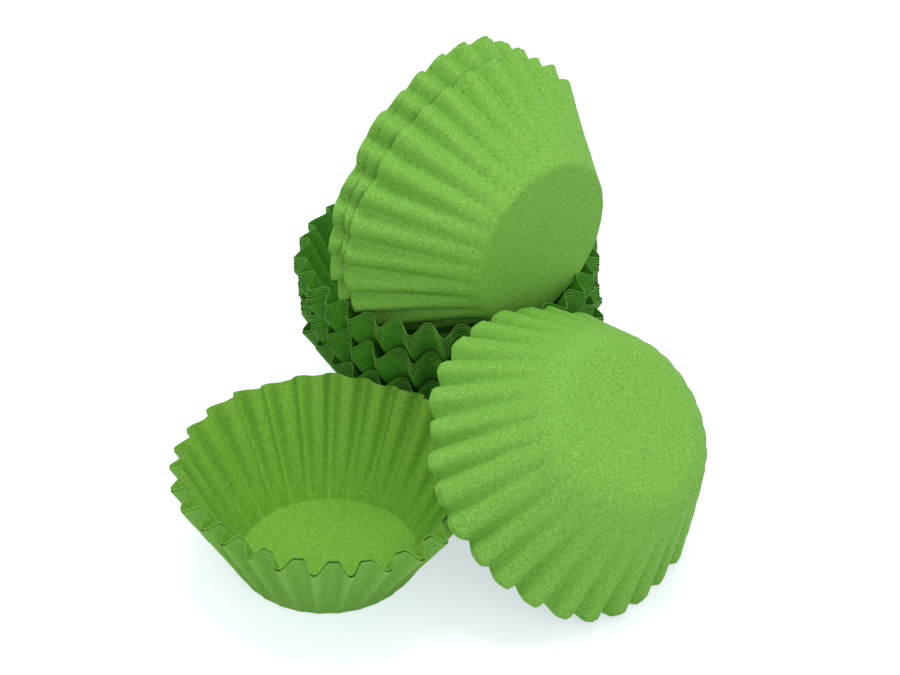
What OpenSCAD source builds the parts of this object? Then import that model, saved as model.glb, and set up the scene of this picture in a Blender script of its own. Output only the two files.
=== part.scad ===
// A pile of fluted paper candy cups, all of one size: a stack of fourteen standing cups in three
// bunches, three loosely nested cups lying in the stack's mouth, two nested cups standing open on
// the floor, and three nested cups turned over and propped against the others.
// Each cup is one thin sheet of paper. Millimetres, +Z up, origin under the middle of the stack.

/* [Cup] */
// Diameter of the cup's flat floor
base_d = 25; // [20:0.5:32]
// Length of the paper wall, from the floor's edge to the rim
wall_l = 18.5; // [15:0.5:24]
// Diameter over the outer folds at the rim
rim_d = 45; // [40:0.5:50]
// How far the inner folds lie inside the outer ones at the rim
flute_depth = 1.9; // [1.5:0.1:2.5]
// Number of flutes round the wall
flutes = 29; // [20:1:36]
// Share of each flute that its flat inner fold takes at the rim
fold_share = 0.36; // [0.2:0.02:0.5]
// Height that the paper takes up on the sloping wall
paper_lift = 0.3; // [0.2:0.05:0.4]
// Thickness of the paper at the floor
paper_t = 0.1; // [0.05:0.05:0.2]

/* [Stack] */
// Cups in each bunch, from the floor up
bunch_cups = [2, 6, 6];
// Height between nested cups
nest_step = 0.45; // [0.4:0.05:0.8]
// Height between the lowest bunch's top cup and the middle bunch's lowest cup
bunch_step = 3.5; // [3.5:0.1:5]
// Height between the middle bunch's top cup and the top bunch's lowest cup
top_step = 2.85; // [2.85:0.05:3.5]
// How far the middle bunch sits to one side of the lowest, until its flutes meet the flutes there
bunch_shift = 0.81; // [0:0.01:0.81]
// How far the top bunch sits to one side of the middle one, until its flutes meet the flutes there
top_shift = 0.61; // [0:0.01:0.61]
// Direction in which each bunch sits off the bunch below
bunch_towards = 237; // [230:1:245]
// Turn of each bunch
bunch_turns = [7.6, 8.1, 8.6];

/* [Hidden] */
base_r = base_d / 2;
rim_r = rim_d / 2;
fold_r = rim_r - flute_depth;
flute_angle = 360 / flutes;

// The wall is as long at every fold, so a fold that leans out further ends lower.
rim_z = sqrt(pow(wall_l, 2) - pow(rim_r - base_r, 2));
fold_z = sqrt(pow(wall_l, 2) - pow(fold_r - base_r, 2));

// The inside of the floor ends where the wall's inner face comes down to it.
floor_r = base_r - (paper_lift - paper_t) * (fold_r - base_r) / fold_z;

stack_count = bunch_cups[0] + bunch_cups[1] + bunch_cups[2];
standing_count = 2;
propped_count = 3;

// Height of each bunch's lowest cup, and how far each bunch sits off the lowest
bunch_heights = [
    0,
    (bunch_cups[0] - 1) * nest_step + bunch_step,
    (bunch_cups[0] + bunch_cups[1] - 2) * nest_step + bunch_step + top_step
];
bunch_shifts = [0, bunch_shift, bunch_shift + top_shift];

// Each place has the middle of a cup's floor, the tilt of its mouth from straight up, the
// direction that it tilts to, and its turn about its own axis. The lying cups fan out a little
// as they rest in one another and on the stack's rim, so each has a place of its own; the other
// two nests have the place of their first cup.
lying_places = [
    [[12.7, -14.66, 36.705], 85.42, 134.26, 3.42],
    [[11.545, -11.182, 38.012], 89.692, 139.815, 3.48],
    [[9.894, -10.344, 37.65], 87.547, 138.152, 3.712]
];
standing_place = [[-17.42, -38.72, 0], 0, 0, 5.5];
propped_place = [[24.215, -44.165, 27.345], 135.123, 141.363, 6.627];

// How far the rim is out of round, the direction in which it is longest, how far it leans over,
// how far it is pressed in on one side, and the direction of that side
round_rim = [0, 0, [0, 0], 0, 0];
standing_rim = [0.042, 127, [0.95, -1.1], 2.4, -36];
propped_rim = [0.025, 70.7, [0, 0], 0, 0];
lying_rim = [0.04, 65, [0.53, -0.07], 0, 0];

// A higher number presses the rim in over a shorter stretch
press_sharpness = 12;

stack_green = [0.27, 0.53, 0.12];
leaf_green = [0.46, 0.71, 0.28];

STACK_NODES = [for (i = [1:stack_count]) str("stack_cup_", i < 10 ? "0" : "", i)];
LYING_NODES = [for (i = [1:len(lying_places)]) str("lying_cup_", i)];
STANDING_NODES = [for (i = [1:standing_count]) str("standing_cup_", i)];
PROPPED_NODES = [for (i = [1:propped_count]) str("propped_cup_", i)];

// A point of the rim at an angle, on a rim that may be out of round, lean over and be pressed in
function rim_point(angle, r, z, rim) =
    let (
        pressed = rim[3] * pow(max(cos(angle - rim[4]), 0), press_sharpness),
        out = r * (1 + rim[0] * cos(2 * (angle - rim[1]))) - pressed)
    [out * cos(angle) + rim[2][0], out * sin(angle) + rim[2][1], z];

function ring(r, z) = [for (k = [0:flutes - 1]) [r * cos(k * flute_angle), r * sin(k * flute_angle), z]];

// The rim has three points a flute: the tip of the outer fold and the two ends of the inner one.
function rim_ring(lift, rim) = [
    for (k = [0:flutes - 1])
        for (part = [0:2])
            rim_point(
                (k + [0, 0.5 - fold_share / 2, 0.5 + fold_share / 2][part]) * flute_angle,
                part == 0 ? rim_r : fold_r,
                (part == 0 ? rim_z : fold_z) + lift,
                rim)
];

// Faces of the wall between a ring of floor points and a ring of rim points
function wall_faces(low, high) = [
    for (k = [0:flutes - 1])
        let (
            foot = low + k,
            next_foot = low + (k + 1) % flutes,
            tip = high + 3 * k,
            next_tip = high + 3 * ((k + 1) % flutes))
        each [
            [foot, tip, tip + 1],
            [foot, tip + 1, tip + 2],
            [foot, tip + 2, next_foot],
            [next_foot, tip + 2, next_tip]
        ]
];

function backwards(list) = [for (i = [len(list) - 1:-1:0]) list[i]];

// One cup: a sheet whose inner face is its outer face moved up by paper_lift
module cup(rim) {
    rim_points = 3 * flutes;
    outer_low = 0;
    outer_high = flutes;
    inner_low = outer_high + rim_points;
    inner_high = inner_low + flutes;
    points = concat(
        ring(base_r, 0),
        rim_ring(0, rim),
        ring(floor_r, paper_t),
        rim_ring(paper_lift, rim));
    faces = concat(
        [[for (k = [0:flutes - 1]) outer_low + k]],
        [[for (k = [flutes - 1:-1:0]) inner_low + k]],
        wall_faces(outer_low, outer_high),
        [for (face = wall_faces(inner_low, inner_high)) backwards(face)],
        [for (k = [0:rim_points - 1])
            let (next = (k + 1) % rim_points)
            [outer_high + k, inner_high + k, inner_high + next, outer_high + next]]);
    polyhedron(points, faces, convexity = 6);
}

// Bunch that a cup of the stack is in, from 0
function bunch_of(i) = i < bunch_cups[0] ? 0 : i < bunch_cups[0] + bunch_cups[1] ? 1 : 2;

module stack_cup(i) {
    bunch = bunch_of(i);
    first = bunch == 0 ? 0 : bunch == 1 ? bunch_cups[0] : bunch_cups[0] + bunch_cups[1];
    height = bunch_heights[bunch] + (i - first) * nest_step;
    shift = bunch_shifts[bunch];
    color(stack_green)
        translate([shift * cos(bunch_towards), shift * sin(bunch_towards), height])
            rotate(bunch_turns[bunch])
                cup(round_rim);
}

// A cup in a place of the pile, or nested above the cup there
module placed_cup(place, rim, lift = 0) {
    color(leaf_green)
        translate(place[0]) rotate([0, place[1], place[2]]) translate([0, 0, lift]) rotate(place[3])
            cup(rim);
}

for (i = [0:stack_count - 1])
    stack_cup(i);
for (i = [0:len(lying_places) - 1])
    placed_cup(lying_places[i], lying_rim);
for (i = [0:standing_count - 1])
    placed_cup(standing_place, standing_rim, i * nest_step);
for (i = [0:propped_count - 1])
    placed_cup(propped_place, propped_rim, i * nest_step);
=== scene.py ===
import math

import bmesh
import bpy
from mathutils import Matrix, Vector, noise


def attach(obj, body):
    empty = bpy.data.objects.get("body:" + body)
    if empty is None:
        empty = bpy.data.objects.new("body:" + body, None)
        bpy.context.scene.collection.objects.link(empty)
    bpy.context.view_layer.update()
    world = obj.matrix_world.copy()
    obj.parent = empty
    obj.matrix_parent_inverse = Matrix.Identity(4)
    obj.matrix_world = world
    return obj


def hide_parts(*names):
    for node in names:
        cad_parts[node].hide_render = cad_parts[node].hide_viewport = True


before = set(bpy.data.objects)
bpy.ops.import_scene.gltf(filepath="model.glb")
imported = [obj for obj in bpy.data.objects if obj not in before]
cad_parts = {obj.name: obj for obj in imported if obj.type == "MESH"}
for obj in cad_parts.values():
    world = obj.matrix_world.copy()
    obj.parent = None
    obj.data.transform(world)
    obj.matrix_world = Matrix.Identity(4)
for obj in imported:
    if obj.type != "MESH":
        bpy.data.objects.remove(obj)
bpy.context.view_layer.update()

# The creases use offsets that Blender draws at random, so their seed is set for the same paper each time.
noise.seed_set(5)

# Every cup is pressed from the same disc of paper. Lengths here are in millimetres.
MM = 0.001
FLOOR_R = 12.5
WALL = 18.5
RIM_R = 22.5
FLUTE_DEPTH = 1.9
FLUTES = 29
PAPER = 0.09
NEST_STEP = 0.45
PRESS_SHARPNESS = 12
TURN = 2 * math.pi

# The sheet's grid: points across one flute, rings on the floor and rings up the wall
COLUMNS = 12
FLOOR_RINGS = (2.5, 5.0, 7.5, 9.6)
WALL_RINGS = 13

# A band between floor and wall narrower than this keeps sharp edges
SHARP_CORNER = 0.5

# Waves in the settled paper: how far each moves it, and how many bumps it makes for its length
WIDE_SWAY = (0.022, 2.6)
FINE_SWAY = (0.014, 6.0)
WIDE_BULGE = (0.55, 1.9)
FINE_BULGE = (0.5, 5.5)
RIM_GAP = (0.12, 7.0)
RIM_LIFT = (0.55, 4.5)
FLOOR_SAG = (0.12, 0.16)
CREASE = (0.07, 0.42)

# Seeds of one group of cups are this far from the next group's.
SEED_STEP = 17

# Fineness of the paper's fibres, clouds, dark specks and dents, in bumps a metre
FIBRES = 3000
CLOUDS = 420
SPECKS = 3600
DENTS = 1400

# Strength of the white room as the paper is lit by it and as the camera sees it, and the floor's glow
ROOM_LIGHT = 0.59
ROOM_SEEN = 1.0
FLOOR_GLOW = 0.62
LAMP_SIZE = 0.3
STUDIO_FLOOR = 6

# The upright stack: each bunch's cups, its height, how far it sits to one side, and its turn
BUNCH_CUPS = (2, 6, 6)
BUNCH_LEVELS = (0, 3.95, 9.05)
BUNCH_SHIFTS = (0, 0.81, 1.42)
BUNCH_TOWARDS = 237
BUNCH_TURNS = (7.6, 8.1, 8.6)

# The camera looks at the middle of the pile from the front and a little above.
AIM = Vector((-0.335, 16.73, 0)) * MM
CAMERA_DROP = 33.776
CAMERA_DISTANCE = 397.84 * MM
LENS = 100


class Nest:
    """Cups nested in one another: where they lie, and how their paper has taken shape"""

    def __init__(self, name, at, tilt=0, towards=0, phase=0):
        self.name = name
        self.at = Vector(at)
        self.tilt = math.radians(tilt)
        self.towards = math.radians(towards)
        self.phase = math.radians(phase)
        self.shape_rim()
        self.shape_paper()

    def shape_rim(self, oval=0, oval_at=0, lean=(0, 0), pressed=0, pressed_at=0):
        """How far the rim is out of round, leans over and is pressed in on one side"""
        self.oval = oval
        self.oval_at = math.radians(oval_at)
        self.lean = lean
        self.pressed = pressed
        self.pressed_at = math.radians(pressed_at)

    def shape_paper(self, folds=(0.02, 0.40), corner=1.2, fade=1.0, slot="leaf_paper"):
        """Shares of half a flute where the outer fold ends and the inner one starts, how wide the
        floor's corner is, how the flutes die away towards the floor, and the material"""
        self.folds = folds
        self.corner = corner
        self.fade = fade
        self.slot = slot

    def place(self, index):
        """The matrix that takes a cup from its own frame to its place in the pile"""
        stand = Matrix.Translation(self.at) @ Matrix.Rotation(self.towards, 4, "Z")
        tipped = stand @ Matrix.Rotation(self.tilt, 4, "Y")
        lifted = tipped @ Matrix.Translation((0, 0, index * NEST_STEP))
        return lifted @ Matrix.Rotation(self.phase, 4, "Z")


class Bunch(Nest):
    """One bunch of the upright stack, whose cups are counted on from the bunch below"""

    def __init__(self, order):
        towards = math.radians(BUNCH_TOWARDS)
        shift = BUNCH_SHIFTS[order]
        at = (shift * math.cos(towards), shift * math.sin(towards), BUNCH_LEVELS[order])
        super().__init__("bunch", at, phase=BUNCH_TURNS[order])
        self.shape_paper(folds=(0.0, 0.42), slot="stack_paper")
        self.first = sum(BUNCH_CUPS[:order]) + 1
        self.count = BUNCH_CUPS[order]

    def node_name(self, index):
        return "stack_cup_%02d" % (self.first + index)


class LooseNest(Nest):
    """Cups that lie, stand or lean by themselves, counted from the first"""

    def __init__(self, name, first, count, at, **facts):
        super().__init__(name, at, **facts)
        self.first = first
        self.count = count

    def node_name(self, index):
        return "%s_cup_%d" % (self.name, self.first + index)


def smooth(low, high, value):
    """0 below low, 1 above high, and a smooth rise between them"""
    part = min(max((value - low) / (high - low), 0), 1)
    return part * part * (3 - 2 * part)


def deselect():
    for thing in bpy.context.selected_objects:
        thing.select_set(False)


def pick_vertex(mesh, index):
    """Selects one vertex of the mesh that is being edited"""
    bpy.ops.mesh.select_all(action="DESELECT")
    grid = bmesh.from_edit_mesh(mesh)
    grid.verts.ensure_lookup_table()
    grid.verts[index].select = True
    bmesh.update_edit_mesh(mesh)
    return grid.verts[index].co.copy()


def fold_depth(across, folds):
    """How far a point lies in from the outer fold: 0 on its tip, 1 on the inner fold, for one flute"""
    return smooth(folds[0], folds[1], abs(across))


def flute_point(ring, across, nest):
    """A point of one flute, for a ring counted from the middle of the floor"""
    angle = across * TURN / FLUTES
    if ring < len(FLOOR_RINGS):
        radius = FLOOR_RINGS[ring]
        return Vector((radius * math.cos(angle), radius * math.sin(angle), PAPER / 2))
    first = len(FLOOR_RINGS)
    # Two rings round the corner between the floor and the wall
    if ring == first:
        radius = FLOOR_R - nest.corner
        return Vector((radius * math.cos(angle), radius * math.sin(angle), PAPER / 2))
    share = (nest.corner + (WALL - nest.corner) * (ring - first - 1) / (WALL_RINGS - 1)) / WALL
    along = WALL * share
    radius = FLOOR_R + (RIM_R - FLOOR_R) * share
    radius -= FLUTE_DEPTH * share ** nest.fade * fold_depth(across, nest.folds)
    height = math.sqrt(along ** 2 - (radius - FLOOR_R) ** 2)
    return Vector((radius * math.cos(angle), radius * math.sin(angle), height + PAPER / 2))


def press_sheet(nest):
    """Models one flute from a flat grid, spins it round the cup and closes the floor"""
    rings = len(FLOOR_RINGS) + 1 + WALL_RINGS
    deselect()
    bpy.ops.mesh.primitive_grid_add(x_subdivisions=COLUMNS, y_subdivisions=rings - 1, size=1)
    sheet = bpy.context.object
    mesh = sheet.data
    bpy.ops.object.mode_set(mode="EDIT")
    for ring in range(rings):
        for column in range(COLUMNS + 1):
            index = ring * (COLUMNS + 1) + column
            now = pick_vertex(mesh, index)
            target = flute_point(ring, column / COLUMNS - 0.5, nest)
            bpy.ops.transform.translate(value=target - now)
    bpy.ops.mesh.select_all(action="SELECT")
    bpy.ops.mesh.spin(steps=FLUTES, dupli=True, angle=TURN, center=(0, 0, 0), axis=(0, 0, 1))
    bpy.ops.mesh.select_all(action="SELECT")
    bpy.ops.mesh.remove_doubles(threshold=0.001)
    close_floor(mesh)
    bpy.ops.mesh.select_all(action="SELECT")
    bpy.ops.mesh.normals_make_consistent(inside=False)
    mark_cut_edge()
    if nest.corner < SHARP_CORNER:
        mark_corner(mesh, nest.corner)
    bpy.ops.object.mode_set(mode="OBJECT")
    sheet.name = nest.name + "_sheet"
    return sheet


def close_floor(mesh):
    """Fills the small ring left in the middle of the floor and pokes it to its centre"""
    bpy.ops.mesh.select_all(action="DESELECT")
    grid = bmesh.from_edit_mesh(mesh)
    for edge in grid.edges:
        middle = (edge.verts[0].co + edge.verts[1].co) / 2
        if edge.is_boundary and math.hypot(middle.x, middle.y) < FLOOR_RINGS[0] + 0.1:
            edge.select_set(True)
    bmesh.update_edit_mesh(mesh)
    bpy.ops.mesh.edge_face_add()
    bpy.ops.mesh.poke()


def mark_cut_edge():
    """The rim is cut clean, so its edges stay sharp when the faces beside them are shaded smooth"""
    bpy.ops.mesh.select_all(action="DESELECT")
    bpy.ops.mesh.select_non_manifold(
        extend=False, use_wire=False, use_boundary=True, use_multi_face=False,
        use_non_contiguous=False, use_verts=False)
    bpy.ops.mesh.mark_sharp()


def mark_corner(mesh, corner):
    """Keeps the edges of the narrow band between the floor and the wall sharp"""
    bpy.ops.mesh.select_all(action="DESELECT")
    grid = bmesh.from_edit_mesh(mesh)
    for edge in grid.edges:
        low = all(end.co.z < PAPER + 2 * corner for end in edge.verts)
        far = all(math.hypot(end.co.x, end.co.y) > FLOOR_R - corner - 0.1 for end in edge.verts)
        edge.select_set(low and far)
    bmesh.update_edit_mesh(mesh)
    bpy.ops.mesh.mark_sharp()


def drift(angle, wave, seed):
    """Smooth noise round the cup, as large and as fine as a wave says"""
    size, bumps = wave
    return size * noise.noise(Vector((math.cos(angle) * bumps, math.sin(angle) * bumps, seed)))


def settle(point, nest, seed, number):
    """Moves a point of the pressed sheet as handling has moved the paper"""
    radius = math.hypot(point.x, point.y)
    angle = math.atan2(point.y, point.x)
    up = point.z / math.sqrt(WALL ** 2 - (RIM_R - FLOOR_R) ** 2)
    slant = min(max(up, 0), 1.1)
    # Whole flutes wander sideways, spread and close up, more towards the rim
    angle += slant * drift(angle, WIDE_SWAY, seed)
    angle += slant * drift(angle, FINE_SWAY, seed + 9 + 0.08 * number)
    radius += slant * drift(angle, WIDE_BULGE, seed + 21)
    radius += slant ** 2 * drift(angle, FINE_BULGE, seed + 33 + 0.1 * number)
    # Each rim stands a little off its neighbours, by less than the gap between the sheets
    radius += slant ** 2 * drift(angle, RIM_GAP, seed + 7 * number)
    lift = slant ** 2 * drift(angle, RIM_LIFT, seed + 47 + 0.1 * number)
    # The rim is out of round and leans over as the solids do
    out = radius * (1 + slant * nest.oval * math.cos(2 * (angle - nest.oval_at)))
    out -= slant * nest.pressed * max(math.cos(angle - nest.pressed_at), 0) ** PRESS_SHARPNESS
    x = out * math.cos(angle) + slant * nest.lean[0]
    y = out * math.sin(angle) + slant * nest.lean[1]
    # The floor isn't quite flat
    depth, bumps = FLOOR_SAG
    sag = depth * noise.noise(Vector((point.x * bumps, point.y * bumps, seed + 60)))
    return Vector((x, y, point.z + lift + max(sag, 0) * (1 - slant)))


def crumple(point):
    """Small creases in the paper, placed by where the point lies in the pile"""
    size, bumps = CREASE
    return point + noise.noise_vector(point * bumps) * size


def make_cup(sheet, nest, index, seed):
    """One cup of a nest, with its own mesh, standing for the solid of the same name"""
    node = nest.node_name(index)
    cup = sheet.copy()
    cup.data = sheet.data.copy()
    cup.name = node + "_paper"
    bpy.context.scene.collection.objects.link(cup)
    place = nest.place(index)
    for vertex in cup.data.vertices:
        settled = place @ settle(vertex.co, nest, seed, nest.first + index)
        vertex.co = crumple(settled) * MM
    for paper in PAPERS[nest.slot]:
        cup.data.materials.append(paper)
    deselect()
    cup.select_set(True)
    bpy.context.view_layer.objects.active = cup
    bpy.ops.object.shade_smooth()
    thick = cup.modifiers.new("paper thickness", "SOLIDIFY")
    thick.thickness = PAPER * MM
    thick.offset = 0
    thick.material_offset = 1
    thick.material_offset_rim = 2
    bpy.ops.object.modifier_apply(modifier=thick.name)
    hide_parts(node)
    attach(cup, "root")


def make_cups(nests, seed):
    """Every cup of one or more nests, all pressed from one sheet"""
    sheet = press_sheet(nests[0])
    for nest in nests:
        for index in range(nest.count):
            make_cup(sheet, nest, index, seed)
    bpy.data.objects.remove(sheet)


def paper_material(name, colour, pale, deep):
    """Greaseproof paper in the colour given, which is its dye and, for the leaf paper's inner face and cut
    edge, also painted light and shade: cloudy fibres, a fine grain and a few dark specks
    """
    material = bpy.data.materials.new(name)
    material.use_nodes = True
    nodes = material.node_tree.nodes
    links = material.node_tree.links
    shader = nodes["Principled BSDF"]
    shader.inputs["Roughness"].default_value = 0.72
    shader.inputs["Specular IOR Level"].default_value = 0.25
    place = nodes.new("ShaderNodeTexCoord")

    def grain(scale, detail, rough):
        texture = nodes.new("ShaderNodeTexNoise")
        texture.inputs["Scale"].default_value = scale
        texture.inputs["Detail"].default_value = detail
        texture.inputs["Roughness"].default_value = rough
        links.new(place.outputs["Object"], texture.inputs["Vector"])
        return texture

    def blend(low, high, texture, colour_in, colour_to):
        ramp = nodes.new("ShaderNodeMapRange")
        ramp.inputs["From Min"].default_value = low
        ramp.inputs["From Max"].default_value = high
        links.new(texture.outputs[0], ramp.inputs["Value"])
        mix = nodes.new("ShaderNodeMix")
        mix.data_type = "RGBA"
        links.new(ramp.outputs["Result"], mix.inputs["Factor"])
        if isinstance(colour_in, tuple):
            mix.inputs["A"].default_value = colour_in + (1,)
        else:
            links.new(colour_in, mix.inputs["A"])
        mix.inputs["B"].default_value = colour_to + (1,)
        return mix

    speck = tuple(0.45 * part for part in deep)
    fine = blend(0.40, 0.60, grain(FIBRES, 4, 0.7), deep, pale)
    cloudy = blend(0.45, 0.85, grain(CLOUDS, 3, 0.6), fine.outputs["Result"], colour)
    specked = blend(0.71, 0.76, grain(SPECKS, 1, 0.5), cloudy.outputs["Result"], speck)
    links.new(specked.outputs["Result"], shader.inputs["Base Color"])

    dents = grain(DENTS, 3, 0.6)
    bump = nodes.new("ShaderNodeBump")
    bump.inputs["Strength"].default_value = 0.35
    bump.inputs["Distance"].default_value = 0.00012
    links.new(dents.outputs[0], bump.inputs["Height"])
    links.new(bump.outputs["Normal"], shader.inputs["Normal"])
    return material


def white_floor():
    """The pale floor, which shows white to the camera and keeps the pile's shadow"""
    deselect()
    bpy.ops.mesh.primitive_plane_add(size=STUDIO_FLOOR)
    floor = bpy.context.object
    floor.name = "floor"
    material = bpy.data.materials.new("white floor")
    material.use_nodes = True
    nodes = material.node_tree.nodes
    links = material.node_tree.links
    shader = nodes["Principled BSDF"]
    shader.inputs["Base Color"].default_value = (0.8, 0.8, 0.8, 1)
    shader.inputs["Roughness"].default_value = 1
    shader.inputs["Specular IOR Level"].default_value = 0
    glow = nodes.new("ShaderNodeEmission")
    glow.inputs["Color"].default_value = (0.86, 0.92, 1, 1)
    links.new(seen_directly(nodes, links, FLOOR_GLOW, 0), glow.inputs["Strength"])
    both = nodes.new("ShaderNodeAddShader")
    links.new(shader.outputs[0], both.inputs[0])
    links.new(glow.outputs[0], both.inputs[1])
    links.new(both.outputs[0], nodes["Material Output"].inputs["Surface"])
    floor.data.materials.append(material)


def seen_directly(nodes, links, seen, lighting):
    """A number that is one value for camera, glossy and transmission rays and another for the rest"""
    rays = nodes.new("ShaderNodeLightPath")
    camera_or_gloss = nodes.new("ShaderNodeMath")
    camera_or_gloss.operation = "MAXIMUM"
    links.new(rays.outputs["Is Camera Ray"], camera_or_gloss.inputs[0])
    links.new(rays.outputs["Is Glossy Ray"], camera_or_gloss.inputs[1])
    any_ray = nodes.new("ShaderNodeMath")
    any_ray.operation = "MAXIMUM"
    links.new(camera_or_gloss.outputs[0], any_ray.inputs[0])
    links.new(rays.outputs["Is Transmission Ray"], any_ray.inputs[1])
    choose = nodes.new("ShaderNodeMapRange")
    choose.inputs["To Min"].default_value = lighting
    choose.inputs["To Max"].default_value = seen
    links.new(any_ray.outputs[0], choose.inputs["Value"])
    return choose.outputs["Result"]


def soft_lamp(name, energy, at):
    """A large square lamp that faces the pile"""
    data = bpy.data.lights.new(name, "AREA")
    data.shape = "SQUARE"
    data.size = LAMP_SIZE
    data.energy = energy
    lamp = bpy.data.objects.new(name, data)
    bpy.context.scene.collection.objects.link(lamp)
    lamp.location = at
    toward = Vector((0, -0.015, 0.02)) - lamp.location
    lamp.rotation_euler = toward.to_track_quat("-Z", "Y").to_euler()


def studio():
    """A white room with a soft lamp over the pile and a weaker one in front of it"""
    world = bpy.data.worlds.new("white room")
    bpy.context.scene.world = world
    world.use_nodes = True
    nodes = world.node_tree.nodes
    links = world.node_tree.links
    sky = nodes["Background"]
    sky.inputs["Color"].default_value = (1, 1, 1, 1)
    links.new(seen_directly(nodes, links, ROOM_SEEN, ROOM_LIGHT), sky.inputs["Strength"])
    soft_lamp("lamp above", 1.62, (0.04, 0.05, 0.68))
    soft_lamp("lamp in front", 0.70, (0.12, -0.55, 0.40))


def add_camera():
    data = bpy.data.cameras.new("camera")
    data.lens = LENS
    data.sensor_width = 36
    camera = bpy.data.objects.new("camera", data)
    bpy.context.scene.collection.objects.link(camera)
    drop = math.radians(CAMERA_DROP)
    back = Vector((0, -math.cos(drop), math.sin(drop))) * CAMERA_DISTANCE
    camera.location = AIM + back
    camera.rotation_euler = (math.pi / 2 - drop, 0, 0)
    bpy.context.scene.camera = camera


bunches = [Bunch(order) for order in range(3)]

# The lying cups: where the middle of each floor is, its tilt, the direction of the tilt, and its turn
LYING_PLACES = (
    ((12.7, -14.66, 36.705), 85.42, 134.26, 3.42),
    ((11.545, -11.182, 38.012), 89.692, 139.815, 3.48),
    ((9.894, -10.344, 37.65), 87.547, 138.152, 3.712),
)
lying = []
for number, (at, tilt, towards, phase) in enumerate(LYING_PLACES, 1):
    cup = LooseNest("lying", number, 1, at, tilt=tilt, towards=towards, phase=phase)
    cup.shape_rim(oval=0.04, oval_at=65, lean=(0.53, -0.07))
    cup.shape_paper(folds=(0.05, 0.60), corner=0.3)
    lying.append(cup)

standing = LooseNest("standing", 1, 2, (-17.42, -38.72, 0), phase=5.5)
standing.shape_rim(oval=0.042, oval_at=127, lean=(0.95, -1.1), pressed=2.4, pressed_at=-36)
standing.shape_paper(folds=(0.03, 0.36), corner=0.15, fade=0.7)

propped = LooseNest("propped", 1, 3, (24.215, -44.165, 27.345), tilt=135.123, towards=141.363, phase=6.627)
propped.shape_rim(oval=0.025, oval_at=70.7)
propped.shape_paper(folds=(0.14, 0.60), corner=2.0, fade=1.25)

leaf_outside = paper_material(
    "leaf green paper",
    (0.211, 0.507, 0.068), pale=(0.260, 0.580, 0.092), deep=(0.156, 0.418, 0.045))
# Painted bounce light: the inner face is tinted yellower than the outer face for the light bounced between
# the cup's walls and passed through the paper inside the cups
leaf_inside_painted_bounce = paper_material(
    "leaf green paper, inner face",
    (0.232, 0.520, 0.056), pale=(0.282, 0.590, 0.076), deep=(0.176, 0.432, 0.039))
# Painted shade: the cut edge is darker than both faces to stand for the shadow in the gap between nested
# rims, though the cut paper itself isn't dark
leaf_edge_painted_shade = paper_material(
    "leaf green paper, cut edge",
    (0.150, 0.390, 0.040), pale=(0.180, 0.440, 0.055), deep=(0.120, 0.340, 0.030))
deep_paper = paper_material(
    "deep green paper",
    (0.080, 0.305, 0.024), pale=(0.100, 0.352, 0.031), deep=(0.058, 0.254, 0.016))
deep_edge = paper_material(
    "deep green paper, cut edge",
    (0.150, 0.400, 0.050), pale=(0.180, 0.450, 0.065), deep=(0.110, 0.330, 0.036))

# The outer face, inner face and cut edge of each paper. The leaf paper's inner face carries painted bounce
# light, and its cut edge carries painted shade.
PAPERS = {
    "leaf_paper": (leaf_outside, leaf_inside_painted_bounce, leaf_edge_painted_shade),
    "stack_paper": (deep_paper, deep_paper, deep_edge),
}

groups = [[bunch] for bunch in bunches] + [lying, [standing], [propped]]
for order, nests in enumerate(groups):
    make_cups(nests, 3 + SEED_STEP * order)

white_floor()
studio()
add_camera()
bpy.context.scene.view_settings.view_transform = "Standard"
